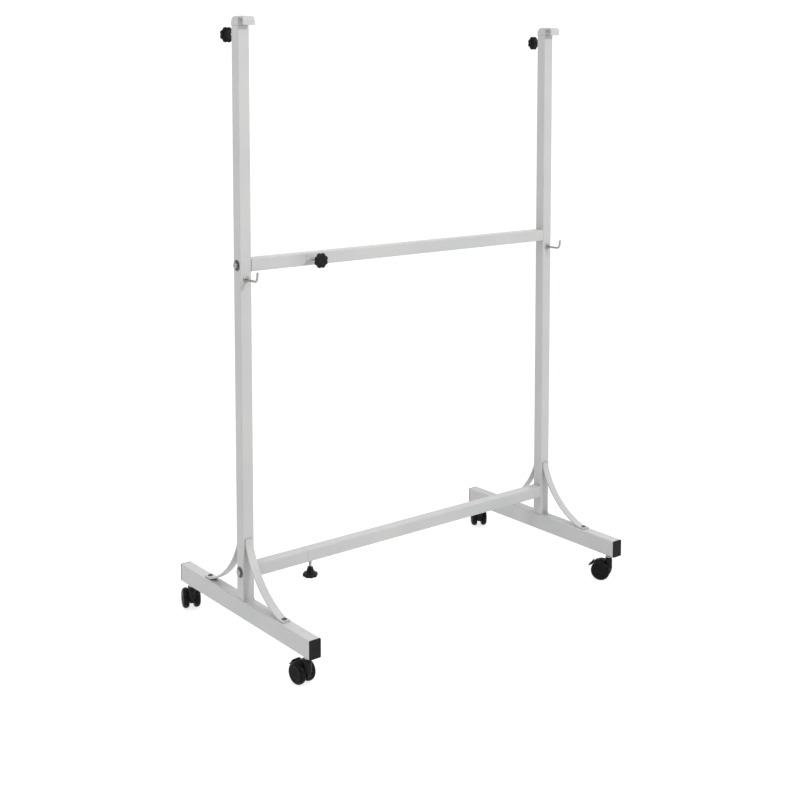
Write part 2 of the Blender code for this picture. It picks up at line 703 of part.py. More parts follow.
def rail(level, height, knob_side):
    """A fixed stub and inner tube on the left, and an outer tube with a clamp knob that slides on it."""
    seam = LEFT + RAIL_SEAM
    face = LEFT + HALF_TUBE + GAP
    stub = rail_tube("stub", face, seam, height, face)
    placed(stub, f"{level}_rail_stub", WHITE)

    end = seam + WIDEN + INNER_ENGAGED
    start = LEFT + HALF_TUBE + INNER_START
    inner = facing(square_tube("inner", INNER, INNER, INNER_WALL, end - start), (1, 0, 0))
    placed(shifted(inner, x=(start + end) / 2, z=height), f"{level}_inner_tube", STEEL)

    far = RIGHT - HALF_TUBE - GAP
    outer = rail_tube("outer", seam + GAP, far, height, far)
    knob = Vector((seam + KNOB_FROM_SEAM, 0, height)) + Vector(knob_side) * HALF_TUBE
    outer = with_boss(outer, tuple(knob), knob_side)
    placed(outer, f"{level}_rail_tube", WHITE)
    clamp_knob(f"{level}_rail_knob", tuple(knob), knob_side)

    rail_bolt(f"left_{level}_bolt", LEFT, height, -1)
    rail_bolt(f"right_{level}_bolt", RIGHT, height, 1)


end_frame("left", LEFT)
end_frame("right", RIGHT)
rail("upper", UPPER_RAIL_Z, (0, -1, 0))
rail("lower", LOWER_RAIL_Z, (0, 0, -1))
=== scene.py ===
"""The looks of a mobile stand for a board or backdrop panel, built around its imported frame.

White powder-coated square tube, black plastic casters, clamp knobs and end caps, and zinc-plated hooks,
bolts and studs. Every piece is shaped here in mesh code, at the place of the CAD node that it stands for, and
rides on the body of that node. Units are metres: X runs along the rails, -Y is the front and Z is up.
"""

import json
from math import atan2, cos, floor, pi, radians, sin, sqrt
import bmesh
import bpy
from mathutils import Matrix, Vector


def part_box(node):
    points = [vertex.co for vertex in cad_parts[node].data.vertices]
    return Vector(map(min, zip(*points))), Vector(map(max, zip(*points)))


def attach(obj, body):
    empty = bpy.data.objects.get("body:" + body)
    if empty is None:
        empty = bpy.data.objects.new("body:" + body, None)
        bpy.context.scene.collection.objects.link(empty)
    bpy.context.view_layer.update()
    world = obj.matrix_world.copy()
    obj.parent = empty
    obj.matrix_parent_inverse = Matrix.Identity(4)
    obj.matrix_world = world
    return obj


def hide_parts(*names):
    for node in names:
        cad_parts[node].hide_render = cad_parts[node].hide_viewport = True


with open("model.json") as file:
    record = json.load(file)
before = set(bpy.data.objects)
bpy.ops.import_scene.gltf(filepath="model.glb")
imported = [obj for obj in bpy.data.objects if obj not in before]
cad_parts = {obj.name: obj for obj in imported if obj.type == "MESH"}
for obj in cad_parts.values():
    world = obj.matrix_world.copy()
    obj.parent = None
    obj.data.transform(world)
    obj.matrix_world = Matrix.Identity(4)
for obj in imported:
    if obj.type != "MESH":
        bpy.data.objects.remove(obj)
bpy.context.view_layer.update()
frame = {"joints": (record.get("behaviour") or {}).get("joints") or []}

SIDES = ("left", "right")
ENDS = {"front": -1, "rear": 1}
CORNERS = ("front_left", "rear_left", "front_right", "rear_right")
TO_X = Matrix(((0, 0, 1, 0), (1, 0, 0, 0), (0, 1, 0, 0), (0, 0, 0, 1)))   # x to Y, y to Z, z to X
TO_FRONT = Matrix.Rotation(pi / 2, 4, "X")                                # z to -Y
TO_BACK = Matrix.Rotation(-pi / 2, 4, "X")                                # z to +Y
TO_FLOOR = Matrix.Rotation(pi, 4, "X")                                    # z to -Z


def low(node):
    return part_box(node)[0]


def high(node):
    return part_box(node)[1]


def middle(node):
    return (low(node) + high(node)) / 2


def size(node):
    return high(node) - low(node)


# Sizes read from the frame, and those that its boxes don't give
TUBE = size("left_upright").x
UPRIGHT_Y = low("left_upright").y + TUBE / 2
UPRIGHT_X = {side: middle(f"{side}_upright").x for side in SIDES}
WALL = 0.0015           # of the white tubes
INNER_WALL = 0.0012     # of the tubes that slide in them
CORNER = 0.0025         # radius of a tube's outer corners
FOOT_TOP = high("left_foot_beam").z
RAIL_Z = {level: high(f"{level}_rail_stub").z - TUBE / 2 for level in ("upper", "lower")}
INNER = size("upper_inner_tube").z
HOOK_Z = middle("left_wire_hook_nut").z
BRACE_THICK = 0.004
BRACE_RADIUS = 0.190
BRACE_TAB = 0.012       # the straight part on the upright
BRACE_FOOT = 0.018      # the straight part on the foot beam
BOSS_HEIGHT = high("left_upright").y - UPRIGHT_Y - TUBE / 2


# ---- materials ----


class Look:
    """A Principled material, with short ways to add the nodes that give it its detail."""

    def __init__(self, name, colour, roughness, metallic=0.0):
        self.material = bpy.data.materials.new(name)
        self.material.use_nodes = True
        self.tree = self.material.node_tree
        self.shader = self.tree.nodes["Principled BSDF"]
        self.shader.inputs["Base Color"].default_value = (*colour, 1)
        self.shader.inputs["Roughness"].default_value = roughness
        self.shader.inputs["Metallic"].default_value = metallic
        self.coordinates = self.tree.nodes.new("ShaderNodeTexCoord").outputs["Object"]

    def link(self, output, socket):
        self.tree.links.new(output, socket)

    def stretched(self, x, y, z):
        """Object coordinates, scaled differently along each axis."""
        mapping = self.tree.nodes.new("ShaderNodeMapping")
        mapping.inputs["Scale"].default_value = (x, y, z)
        self.link(self.coordinates, mapping.inputs["Vector"])
        return mapping.outputs["Vector"]

    def noise(self, scale, detail=3.0, coordinates=None):
        texture = self.tree.nodes.new("ShaderNodeTexNoise")
        texture.inputs["Scale"].default_value = scale
        texture.inputs["Detail"].default_value = detail
        self.link(coordinates or self.coordinates, texture.inputs["Vector"])
        return texture.outputs["Fac"]

    def ranged(self, value, from_low, from_high, to_low, to_high):
        """A value moved from one range to another, and held inside it."""
        node = self.tree.nodes.new("ShaderNodeMapRange")
        for socket, number in zip(node.inputs[1:5], (from_low, from_high, to_low, to_high)):
            socket.default_value = number
        self.link(value, node.inputs["Value"])
        return node.outputs["Result"]

    def mixed(self, share, first, second):
        """A blend of two colours, each a colour or another node's output."""
        node = self.tree.nodes.new("ShaderNodeMix")
        node.data_type = "RGBA"
        self.link(share, node.inputs["Factor"])
        for socket, colour in ((node.inputs[6], first), (node.inputs[7], second)):
            if isinstance(colour, tuple):
                socket.default_value = (*colour, 1)
            else:
                self.link(colour, socket)
        return node.outputs[2]

    def colour(self, output):
        self.link(output, self.shader.inputs["Base Color"])

    def roughness(self, output):
        self.link(output, self.shader.inputs["Roughness"])

    def bump(self, height, depth, strength=1.0):
        """Adds a bump of this depth in metres on top of any that are there."""
        node = self.tree.nodes.new("ShaderNodeBump")
        node.inputs["Strength"].default_value = strength
        node.inputs["Distance"].default_value = depth
        self.link(height, node.inputs["Height"])
        normal = self.shader.inputs["Normal"]
        if normal.is_linked:
            self.link(normal.links[0].from_socket, node.inputs["Normal"])
        self.link(node.outputs["Normal"], normal)


def powder_coat():
    """White powder coat: fine orange peel, faint clouding, and a little dust in the texture."""
    look = Look("powder_coat", (0.435, 0.435, 0.43), 0.42)
    clouds = look.ranged(look.noise(9), 0.35, 0.65, 0, 1)
    dust = look.ranged(look.noise(420, 4), 0.60, 0.80, 0, 0.35)
    tint = look.mixed(clouds, (0.425, 0.428, 0.430), (0.452, 0.451, 0.446))
    look.colour(look.mixed(dust, tint, (0.36, 0.356, 0.345)))
    look.roughness(look.ranged(look.noise(60), 0.3, 0.7, 0.36, 0.50))
    look.bump(look.noise(650, 2), 0.00012, 0.55)
    look.bump(look.noise(160, 1), 0.00010, 0.30)
    look.shader.inputs["Coat Weight"].default_value = 0.12
    look.shader.inputs["Coat Roughness"].default_value = 0.22
    return look.material


def moulded_plastic():
    """Black plastic with the fine grain of its mould and faint paler scuffs."""
    dark, light = (0.008, 0.008, 0.009), (0.020, 0.020, 0.021)
    look = Look("moulded_black", dark, 0.44)
    look.shader.inputs["Specular IOR Level"].default_value = 0.12
    scuffs = look.ranged(look.noise(90, 6, look.stretched(1, 1, 4)), 0.56, 0.78, 0, 1)
    look.colour(look.mixed(scuffs, dark, light))
    look.roughness(look.ranged(look.noise(140), 0.3, 0.7, 0.37, 0.53))
    look.bump(look.noise(1300, 2), 0.00008, 0.5)
    return look.material


def tread_plastic():
    """The wheels' nylon: glossier faces and a dusty, worn bloom."""
    look = Look("wheel_nylon", (0.006, 0.006, 0.007), 0.40)
    look.shader.inputs["Specular IOR Level"].default_value = 0.08
    bloom = look.ranged(look.noise(120, 5), 0.50, 0.75, 0, 0.8)
    look.colour(look.mixed(bloom, (0.005, 0.005, 0.006), (0.014, 0.0135, 0.013)))
    look.roughness(look.ranged(look.noise(70, 4), 0.3, 0.7, 0.30, 0.55))
    look.bump(look.noise(900, 2), 0.00006, 0.5)
    return look.material


def zinc_plate():
    """Bright zinc over turned and drawn steel: fine lines, cloudy passivation and a few dull spots."""
    look = Look("zinc_plate", (0.34, 0.34, 0.335), 0.34, 1.0)
    clouds = look.ranged(look.noise(260, 4), 0.35, 0.65, 0, 1)
    tint = look.mixed(clouds, (0.28, 0.283, 0.288), (0.41, 0.405, 0.385))
    spots = look.ranged(look.noise(1400, 3), 0.62, 0.72, 0, 0.6)
    look.colour(look.mixed(spots, tint, (0.20, 0.195, 0.18)))
    look.roughness(look.ranged(look.noise(500, 4), 0.3, 0.7, 0.26, 0.46))
    look.bump(look.noise(900, 2, look.stretched(0.15, 1, 1)), 0.00005, 0.4)
    return look.material


def blackened_steel():
    """Blackened steel: the screws at the feet of the braces and the flanges of the bolts."""
    look = Look("blackened_steel", (0.10, 0.10, 0.10), 0.42, 0.9)
    worn = look.ranged(look.noise(900, 4), 0.50, 0.70, 0, 1)
    look.colour(look.mixed(worn, (0.07, 0.07, 0.072), (0.24, 0.235, 0.23)))
    look.roughness(look.ranged(look.noise(500), 0.3, 0.7, 0.34, 0.55))
    look.bump(look.noise(1500, 2), 0.00004, 0.4)
    return look.material


LOOKS = {
    "powder_coat_white": powder_coat(),
    "black_plastic": moulded_plastic(),
    "black_wheel_plastic": tread_plastic(),
    "zinc_plated_steel": zinc_plate(),
}
BLACKENED = blackened_steel()


# ---- shapes: each is a bmesh, built about the origin and then moved, or built in place ----


def arc(centre, radius, start, end, steps):
    return [
        (centre[0] + radius * cos(start + (end - start) * i / steps),
         centre[1] + radius * sin(start + (end - start) * i / steps))
        for i in range(steps + 1)
    ]


def rounded_rectangle(width, height, radius, steps=6):
    right, top = width / 2 - radius, height / 2 - radius
    points = []
    for quarter, centre in enumerate(((right, top), (-right, top), (-right, -top), (right, -top))):
        points += arc(centre, radius, quarter * pi / 2, (quarter + 1) * pi / 2, steps)
    return points


def softened(points, radius, steps=3, closed=False):
    """A line with each corner rounded, by at most this radius and never past the middle of a side."""
    count = len(points)
    made = [] if closed else [points[0]]
    for i in range(0 if closed else 1, count if closed else count - 1):
        before, corner, after = (Vector(points[j % count]) for j in (i - 1, i, i + 1))
        legs = [before - corner, after - corner]
        ends = [corner + leg * min(radius / leg.length, 0.45) for leg in legs]
        for step in range(steps + 1):
            t = step / steps
            made.append(tuple(ends[0] * (1 - t) ** 2 + corner * 2 * t * (1 - t) + ends[1] * t ** 2))
    return made if closed else made + [points[-1]]


def skin(rings, closed=False):
    """A shape skinned over rings of points. The end rings are capped, or the last ring joins the first.
    A ring may be one point, where the shape comes to a tip."""
    shape = bmesh.new()
    rows = [[shape.verts.new(point) for point in ring] for ring in rings]
    pairs = list(zip(rows, rows[1:])) + ([(rows[-1], rows[0])] if closed else [])
    for first, second in pairs:
        count = max(len(first), len(second))
        for i in range(count):
            j = (i + 1) % count
            corners = [first[i % len(first)], first[j % len(first)],
                       second[j % len(second)], second[i % len(second)]]
            shape.faces.new(list(dict.fromkeys(corners)))
    if not closed:
        for row in (rows[0], rows[-1]):
            if len(row) > 2:
                shape.faces.new(row)
    bmesh.ops.recalc_face_normals(shape, faces=shape.faces)
    return shape


def moved(shape, matrix):
    shape.transform(matrix)
    return shape


def at(x=0.0, y=0.0, z=0.0):
    return Matrix.Translation((x, y, z))


def together(*shapes):
    """Several shapes as one."""
    whole = shapes[0]
    for shape in shapes[1:]:
        mesh = bpy.data.meshes.new("part")
        shape.to_mesh(mesh)
        shape.free()
        whole.from_mesh(mesh)
        bpy.data.meshes.remove(mesh)
    return whole


def bevelled(shape, width, segments=3, sharper_than=radians(30)):
    edges = [
        edge for edge in shape.edges
        if len(edge.link_faces) == 2 and edge.calc_face_angle() > sharper_than
    ]
    bmesh.ops.bevel(
        shape, geom=edges, offset=width, segments=segments, profile=0.5, affect="EDGES", clamp_overlap=True,
    )
    return shape


def slab(outline, bottom, top):
    """A flat outline in XY carried up from bottom to top."""
    return skin([[(x, y, z) for x, y in outline] for z in (bottom, top)])


def tube(outline, inner_outline, start, end, rim=0.0003):
    """A hollow tube along Z between two outlines with as many points, with softened rims."""
    share = 1 - rim / TUBE * 2
    lip = [(x * share, y * share) for x, y in outline]
    rings = ((outline, start + rim), (outline, end - rim), (lip, end),
             (inner_outline, end), (inner_outline, start), (lip, start))
    return skin([[(x, y, z) for x, y in points] for points, z in rings], closed=True)


def square_tube(width, height, wall, start, end):
    outline = rounded_rectangle(width, height, CORNER)
    inner_outline = rounded_rectangle(width - 2 * wall, height - 2 * wall, max(CORNER - wall, 0.0006))
    return tube(outline, inner_outline, start, end)


def turned(profile, steps=48, closed=False, reach=None):
    """A shape of revolution about Z from (radius, height) points.
    reach(turn, radius, height), if given, varies the radius around the axis."""
    rings = []
    for radius, height in profile:
        if radius < 1e-6:
            rings.append([(0, 0, height)])
            continue
        ring = []
        for i in range(steps):
            turn = 2 * pi * i / steps
            out = reach(turn, radius, height) if reach else radius
            ring.append((out * cos(turn), out * sin(turn), height))
        rings.append(ring)
    return skin(rings, closed)


def swept(path, radii, steps=16):
    """A round bar along a path in a plane of constant x, with this radius at each of its points."""
    rings = []
    for i, (place, radius) in enumerate(zip(path, radii)):
        along = (path[min(i + 1, len(path) - 1)] - path[max(i - 1, 0)]).normalized()
        across = Vector((1, 0, 0))
        up = along.cross(across)
        if radius < 1e-6:
            rings.append([place])
            continue
        rings.append([
            place + (across * cos(2 * pi * j / steps) + up * sin(2 * pi * j / steps)) * radius
            for j in range(steps)
        ])
    return skin(rings)


def threaded(radius, depth, pitch, bottom, top, steps=24, rings_a_turn=6):
    """A screw thread along Z, with plain ends."""
    count = int((top - bottom) / pitch * rings_a_turn)
    profile = [(0, bottom)]
    profile += [(radius, bottom + (top - bottom) * i / count) for i in range(count + 1)]
    profile += [(0, top)]

    def ridge(turn, out, height):
        if height in (bottom, top):
            return out - depth
        along = (height / pitch - turn / (2 * pi)) % 1
        return out - depth * abs(2 * along - 1)

    return turned(profile, steps, reach=ridge)


def hexagon(radius):
    return arc((0, 0), radius, 0, 2 * pi * 5 / 6, 5)


def piece(name, shape, body, slot, stands_for=(), look=None):
    """A finished piece: it rides on its body, takes its slot's finish and stands for these CAD nodes."""
    mesh = bpy.data.meshes.new(name)
    shape.to_mesh(mesh)
    shape.free()
    mesh.shade_smooth()
    mesh.set_sharp_from_angle(angle=radians(38))
    obj = bpy.data.objects.new(name, mesh)
    bpy.context.scene.collection.objects.link(obj)
    mesh.materials.append(look or LOOKS[slot])
    normals = obj.modifiers.new("Normals", "WEIGHTED_NORMAL")
    normals.keep_sharp = True
    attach(obj, body)
    if stands_for:
        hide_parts(*stands_for)
    return obj


# ---- tubes ----


def hook_clamp(side):
    """Where the clamp of a top hook stands on its upright, and the way it points."""
    return (UPRIGHT_X[side], UPRIGHT_Y + TUBE / 2, middle(f"{side}_hook_knob").z), TO_BACK


def rail_clamp(level):
    """Where the clamp of a rail stands on its tube, and the way it points."""
    x, z = middle(f"{level}_rail_knob").x, RAIL_Z[level]
    if level == "upper":
        return (x, UPRIGHT_Y - TUBE / 2, z), TO_FRONT
    return (x, UPRIGHT_Y, z - TUBE / 2), TO_FLOOR


def boss(place, outward):
    """The small threaded boss that a clamp's stud runs in, painted with its tube."""
    outer, bore = 0.0052, 0.0034
    profile = [(outer, -WALL / 2), (outer, BOSS_HEIGHT), (bore, BOSS_HEIGHT), (bore, -WALL / 2)]
    return moved(turned(softened(profile, 0.0008, closed=True), closed=True), at(*place) @ outward)


def weld_bead(start, end, level):
    """A rippled fillet of weld along one side of an upright's foot."""
    steps = 30
    path = [start.lerp(end, i / steps) for i in range(steps + 1)]
    along = (end - start).normalized()
    side = along.cross(Vector((0, 0, 1)))
    rings = []
    for i, place in enumerate(path):
        taper = min(1, 0.35 + 0.65 * sin(pi * i / steps) * 1.6)
        reach = (0.0017 + 0.00018 * cos(i * pi * 0.8)) * taper
        ring = [place + (side * cos(turn) + Vector((0, 0, 1)) * sin(turn)) * reach
                for turn in (2 * pi * j / 12 for j in range(12))]
        rings.append([Vector((p.x, p.y, max(p.z, level))) for p in ring])
    return skin(rings)


def upright(side):
    node = f"{side}_upright"
    x = UPRIGHT_X[side]
    shape = moved(square_tube(TUBE, TUBE, WALL, low(node).z, high(node).z), at(x, UPRIGHT_Y))
    shape = together(shape, boss(*hook_clamp(side)))
    half = TUBE / 2 + 0.0002
    corners = [Vector((x + half * a, UPRIGHT_Y + half * b, FOOT_TOP + 0.0004)) for a, b in
               ((-1, -1), (1, -1), (1, 1), (-1, 1))]
    for i, corner in enumerate(corners):
        shape = together(shape, weld_bead(corner, corners[(i + 1) % 4], FOOT_TOP + 0.0001))
    piece(f"{side}_upright_tube", shape, f"{side}_frame", "powder_coat_white", [node])


def foot_beam(side):
    node = f"{side}_foot_beam"
    shape = moved(square_tube(size(node).x, size(node).z, WALL, low(node).y, high(node).y), TO_BACK)
    piece(f"{side}_foot_tube", moved(shape, at(middle(node).x, 0, middle(node).z)), f"{side}_frame",
          "powder_coat_white", [node])


def rail(level):
    to_rail = at(0, UPRIGHT_Y, RAIL_Z[level]) @ TO_X
    stub = f"{level}_rail_stub"
    shape = moved(square_tube(TUBE, TUBE, WALL, low(stub).x, high(stub).x), to_rail)
    piece(f"{level}_rail_fixed_end", shape, "left_frame", "powder_coat_white", [stub])
    inner = f"{level}_inner_tube"
    shape = moved(square_tube(INNER, INNER, INNER_WALL, low(inner).x, high(inner).x), to_rail)
    piece(f"{level}_rail_inner", shape, "left_frame", "zinc_plated_steel", [inner])
    outer = f"{level}_rail_tube"
    shape = moved(square_tube(TUBE, TUBE, WALL, low(outer).x, high(outer).x), to_rail)
    shape = together(shape, boss(*rail_clamp(level)))
    piece(f"{level}_rail_outer", shape, "right_frame", "powder_coat_white", [outer])


def end_cap(side, end):
    """A plastic plug with a softened rim and a shallow recess in its face."""
    node = f"{side}_{end}_end_cap"
    outward = ENDS[end]
    thick = 0.003
    face = low(node).y if outward < 0 else high(node).y
    width, height = size(node).x, size(node).z
    steps = [
        (0, thick), (0, 0.0011), (0.0003, 0.0005), (0.0009, 0.0001), (0.0016, 0),
        (0.0034, 0), (0.0039, 0.0004), (0.0046, 0.0005),
    ]
    rings = [
        [(x, y, -depth) for x, y in rounded_rectangle(
            width - 2 * inset, height - 2 * inset, max(CORNER - inset * 0.4, 0.0008))]
        for inset, depth in steps
    ]
    inset = 2 * WALL + 0.0006
    plug = [[(x, y, -depth) for x, y in rounded_rectangle(width - inset, height - inset, 0.001)]
            for depth in (thick - 0.0004, 0.017)]
    shape = together(skin(rings), skin(plug))
    turn = TO_FRONT if outward < 0 else TO_BACK
    shape = moved(shape, at(middle(node).x, face, middle(node).z) @ turn)
    piece(f"{side}_{end}_cap", shape, f"{side}_frame", "black_plastic", [node])


def brace_line(top, bottom, reach):
    """The middle line of a brace, as (distance from the upright, height): a tab, an arc and a foot."""
    upper = Vector((BRACE_THICK / 2, top - BRACE_TAB))
    lower = Vector((reach - BRACE_FOOT, bottom + BRACE_THICK / 2))
    chord = lower - upper
    rise = sqrt(BRACE_RADIUS ** 2 - chord.length_squared / 4)
    centre = (upper + lower) / 2 + Vector((-chord.y, chord.x)).normalized() * rise
    first, last = (atan2(*reversed(point - centre)) % (2 * pi) for point in (upper, lower))
    line = [Vector((BRACE_THICK / 2, top))]
    line += [Vector(point) for point in arc(centre, BRACE_RADIUS, first, last, 28)]
    return line + [Vector((reach, bottom + BRACE_THICK / 2))]


def brace(side, end):
    """A flat bar that sweeps down from the upright to the foot beam."""
    node = f"{side}_{end}_brace"
    outward = ENDS[end]
    near = high(node).y if outward < 0 else low(node).y
    line = brace_line(high(node).z, low(node).z, size(node).y)
    wide, deep = size(node).x / 2, BRACE_THICK / 2
    section = softened([(-wide, -deep), (wide, -deep), (wide, deep), (-wide, deep)], 0.0008, closed=True)
    rings = []
    for i, place in enumerate(line):
        along = (line[min(i + 1, len(line) - 1)] - line[max(i - 1, 0)]).normalized()
        out = Vector((-along.y, along.x))
        rings.append([(x, outward * (place.x + out.x * t), place.y + out.y * t) for x, t in section])
    shape = moved(skin(rings), at(middle(node).x, near))
    bmesh.ops.recalc_face_normals(shape, faces=shape.faces)
    piece(f"{side}_{end}_brace_bar", shape, f"{side}_frame", "powder_coat_white", [node])


def brace_screw(side, end):
    """The domed screw through a brace's foot, with a recess in its head."""
    node = f"{side}_{end}_brace"
    far = low(node).y if ENDS[end] < 0 else high(node).y
    profile = [(0.0056, 0), (0.0056, 0.0009), (0.0036, 0.0024), (0.0022, 0.0025), (0.0018, 0.0012),
               (0, 0.0012)]
    place = at(middle(node).x, far - ENDS[end] * BRACE_FOOT / 2, low(node).z + BRACE_THICK)
    head = moved(turned(softened(profile, 0.0005), 32), place)
    piece(f"{side}_{end}_brace_screw", head, f"{side}_frame", "zinc_plated_steel", look=BLACKENED)


# ---- hooks and fasteners ----


def flanged_bolt(side, level):
    """A hexagon bolt with a wide flange, and its shank through the upright."""
    node = f"{side}_{level}_bolt"
    outward = -1 if side == "left" else 1
    face = UPRIGHT_X[side] + outward * TUBE / 2
    tall = abs((low(node).x if outward < 0 else high(node).x) - face)
    profile = [(0, 0.0003), (0.0115, 0.0003), (0.0115, 0.0011), (0.0088, 0.0021), (0, 0.0021)]
    flange = turned(softened(profile, 0.0005))
    head = bevelled(slab(hexagon(0.0075), 0.0012, tall - 0.0002), 0.0006)
    crown = turned(softened([(0.0058, tall - 0.0008), (0.0054, tall), (0.0030, tall - 0.0004),
                             (0, tall - 0.0007)], 0.0005), 32)
    tip = -TUBE - 0.004
    shank = turned(softened([(0, tip), (0.004, tip), (0.004, 0.001), (0, 0.001)], 0.0004), 24)
    place = at(face, UPRIGHT_Y, RAIL_Z[level]) @ Matrix.Rotation(outward * pi / 2, 4, "Y")
    shape = moved(together(head, crown, shank), place)
    piece(f"{side}_{level}_bolt_head", shape, f"{side}_frame", "zinc_plated_steel", [node])
    piece(f"{side}_{level}_bolt_flange", moved(flange, place), f"{side}_frame", "zinc_plated_steel",
          look=BLACKENED)


def wire_hook(side):
    """Steel wire bent up at the front, with a rounded tip, and a collar that bears on the upright."""
    node = f"{side}_wire_hook"
    x, radius = UPRIGHT_X[side], 0.0024
    front, back = UPRIGHT_Y - TUBE / 2, high(node).y
    corner = Vector((x, front - 0.043, HOOK_Z))
    tip = Vector((x, corner.y - 0.003, HOOK_Z + 0.021))
    line = softened([(back, HOOK_Z), (corner.y, corner.z), (tip.y, tip.z)], 0.009, 8)
    path = [Vector((x, y, z)) for y, z in line]
    along = (tip - corner).normalized()
    radii = [radius] * len(path)
    path[-1] = tip - along * radius
    for step in range(1, 6):
        turn = step / 5 * pi / 2
        path.append(tip - along * radius * (1 - sin(turn)))
        radii.append(radius * cos(turn))
    profile = [(0, 0.007), (0.0045, 0.007), (0.0045, 0.0022), (0.0075, 0.0016), (0.0075, 0.0003), (0, 0.0003)]
    collar = turned(softened(profile, 0.0006))
    shape = together(swept(path, radii), moved(collar, at(x, front, HOOK_Z) @ TO_FRONT))
    piece(f"{side}_board_hook", shape, f"{side}_frame", "zinc_plated_steel", [node])


def wire_hook_nut(side):
    node = f"{side}_wire_hook_nut"
    place = at(UPRIGHT_X[side], UPRIGHT_Y + TUBE / 2, HOOK_Z) @ TO_BACK
    nut = bevelled(slab(hexagon(0.0065), 0.0003, 0.005), 0.0005)
    end = threaded(0.0029, 0.0004, 0.0008, 0.0045, 0.0070)
    piece(f"{side}_hook_nut", moved(together(nut, end), place), f"{side}_frame", "zinc_plated_steel", [node])


def top_hook(side):
    """A head that reaches forward over the board, with a lip, on a tube that slides in the upright."""
    node = f"{side}_top_hook"
    x, top = UPRIGHT_X[side], high(node).z
    bottom = high(f"{side}_upright").z + 0.0003
    back, front, lip = UPRIGHT_Y + TUBE / 2, UPRIGHT_Y - TUBE / 2, low(node).y
    plate, bend, lip_bend = 0.004, 0.013, 0.009
    outline = [(back, bottom)]
    outline += arc((back - bend, top - bend), bend, 0, pi / 2, 14)
    lip_centre = (lip + lip_bend, top - lip_bend)
    outline += arc(lip_centre, lip_bend, pi / 2, pi, 8)
    outline += [(lip, bottom), (lip + plate, bottom)]
    outline += arc(lip_centre, lip_bend - plate, pi, pi / 2, 6)
    outline += softened([(lip + plate, top - plate), (front, top - plate), (front, bottom)], 0.0015)[1:-1]
    outline += [(front, bottom)]
    head = bevelled(slab(outline, -TUBE / 2, TUBE / 2), 0.0009)
    head = moved(head, at(x) @ TO_X)
    slider = square_tube(INNER, INNER, INNER_WALL, low(node).z, bottom + 0.002)
    shape = together(head, moved(slider, at(x, UPRIGHT_Y)))
    piece(f"{side}_board_clamp", shape, f"{side}_hook", "powder_coat_white", [node])


def knob(name, face, outward):
    """A lobed clamp knob with a domed face, a recessed centre cap and a ribbed hub, on a threaded stud.
    face is the point on the tube under the stud."""
    node, body = f"{name}_knob", f"{name}_clamp"
    radius, hub_radius, lobes, groove = 0.017, 0.0108, 8, 0.0019
    place = at(*face) @ outward
    crown = max((place.inverted() @ corner).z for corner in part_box(node))
    back, hub_end = crown - 0.0098, crown - 0.0238
    profile = [(0, crown - 0.0008), (0.0050, crown - 0.0008), (0.0056, crown - 0.0003), (0.0072, crown),
               (0.0120, crown - 0.0005), (0.0158, crown - 0.0014), (radius, crown - 0.0032),
               (radius, back + 0.0026), (0.0155, back + 0.0004), (hub_radius, back), (0.0096, back - 0.0012),
               (0.0060, hub_end + 0.0012), (0.0050, hub_end), (0, hub_end)]
    pitch = 2 * pi / lobes

    def lobed(turn, out):
        near_rim = max(0.0, min(1.0, (out - hub_radius) / 0.0045))
        from_groove = abs((turn / pitch - 0.5) - floor(turn / pitch - 0.5) - 0.5) * 2
        depth = groove * cos(from_groove * pi / 2 * 1.25) ** 2 if from_groove < 0.8 else 0
        return out - depth * near_rim ** 2

    def ribbed(turn, out, height):
        if out < 0.0050 or height > back:
            return out
        return out - 0.0006 * (0.5 + 0.5 * cos(turn * lobes))

    def outer(turn, out, height):
        return lobed(turn, out) if out > hub_radius else ribbed(turn, out, height)

    shape = turned(softened(profile, 0.0009), 128, reach=outer)
    piece(f"{name}_lobed_knob", moved(shape, place), body, "black_plastic", [node])
    stud = threaded(0.0030, 0.00035, 0.001, -WALL, hub_end + 0.002)
    piece(f"{name}_threaded_stud", moved(stud, place), body, "zinc_plated_steel", [f"{node}_stud"])


# ---- casters: built about the stem, with the trailing side at +Y, then turned ----

WHEEL_RADIUS = size("rear_left_caster_left_wheel").z / 2 - 0.0002
TRAIL = 0.018           # from the stem back to the axle
CASTER_WIDTH = 0.041    # over both wheels
WHEEL_WIDTH = 0.0146
BLOCK_RADIUS = WHEEL_RADIUS + 0.0030    # the hinge block on the hood, about the axle
BLOCK_FROM, BLOCK_TO = radians(50), radians(66)


def caster_place(corner):
    """Where a caster stands and how far it's turned, from its stem and the axis that its wheels spin on."""
    spin = next(joint for joint in frame["joints"] if joint["name"] == f"{corner}_left_wheel_spin")
    stem = middle(f"{corner}_caster_stem")
    return at(stem.x, stem.y) @ Matrix.Rotation(atan2(spin["axis"][1], spin["axis"][0]), 4, "Z")


def caster_stem(corner, place):
    node = f"{corner}_caster_stem"
    top, bottom = high(node).z, low(node).z
    under, collar = 0.0637, 0.0075
    profile = [(0, top), (0.0032, top), (0.004, top - 0.001), (0.004, under), (collar, under),
               (collar, under - 0.0020), (collar - 0.0009, under - 0.0028), (collar - 0.0009, under - 0.0042),
               (collar, under - 0.0050), (collar, 0.0562), (0.004, 0.0562), (0.004, bottom + 0.001),
               (0.0032, bottom), (0, bottom)]
    shape = turned(softened(profile, 0.0005), 40)
    piece(f"{corner}_stem", moved(shape, place), f"{corner.split('_')[1]}_frame", "zinc_plated_steel", [node])


